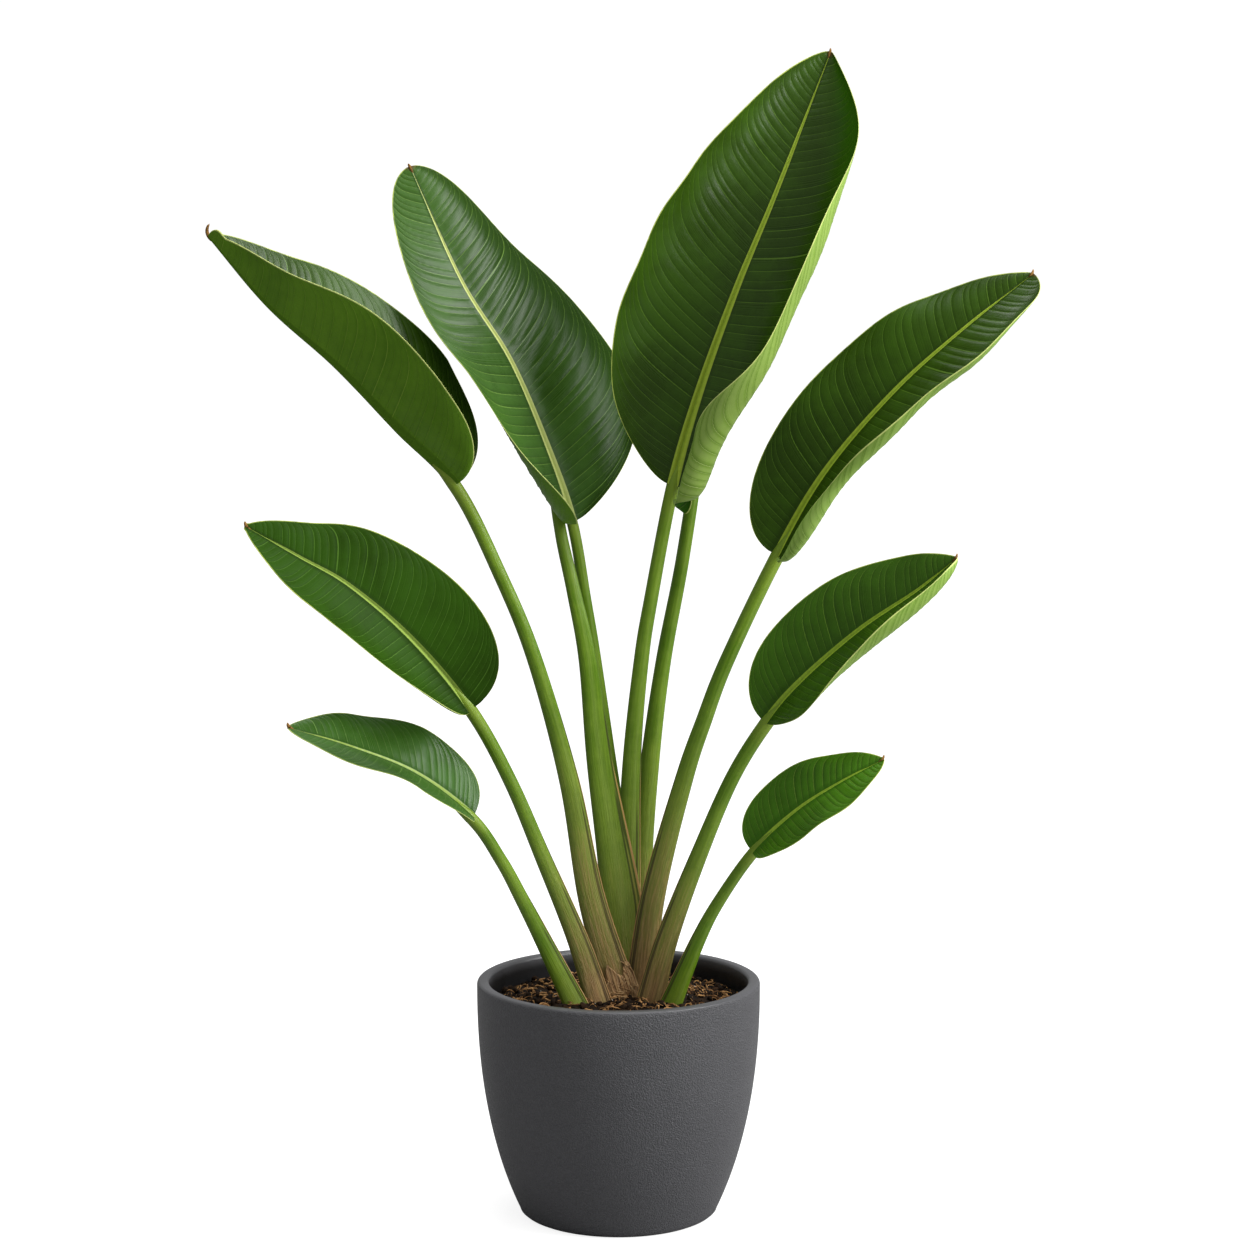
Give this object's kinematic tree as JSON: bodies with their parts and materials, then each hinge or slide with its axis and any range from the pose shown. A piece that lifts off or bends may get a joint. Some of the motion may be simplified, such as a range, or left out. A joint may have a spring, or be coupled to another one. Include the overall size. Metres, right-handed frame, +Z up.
{
  "type": "potted bird of paradise plant",
  "caption": "Potted bird of paradise: long stalks carry large paddle-shaped blades in a fan above a dark bowl-shaped pot filled with soil.",
  "frame": {"origin": "middle of the pot's flat underside", "axes": "+Z up, the leaf fan spreads along X and faces -Y"},
  "size_m": [0.8449, 0.3851, 1.2263],
  "materials": {
    "pot": "matte charcoal with a fine grain and a smooth rim",
    "soil": "loose dark potting mix with fibres and chips",
    "husk": "dry fibrous",
    "stalk": "satin green, tan at the sheath",
    "blade": "waxy dark green"
  },
  "bodies": {
    "root": {"pot": "pot", "soil": "soil", "husk": "husk", "stalk_left_high": "stalk", "stalk_left_tall": "stalk", "stalk_left_back": "stalk", "stalk_left_middle": "stalk", "stalk_left_low": "stalk", "stalk_right_tall": "stalk", "stalk_right_back": "stalk", "stalk_right_high": "stalk", "stalk_right_middle": "stalk", "stalk_right_low": "stalk", "blade_left_high": "blade", "blade_left_tall": "blade", "blade_left_back": "blade", "blade_left_middle": "blade", "blade_left_low": "blade", "blade_right_tall": "blade", "blade_right_back": "blade", "blade_right_high": "blade", "blade_right_middle": "blade", "blade_right_low": "blade"}
  },
  "joints": []
}
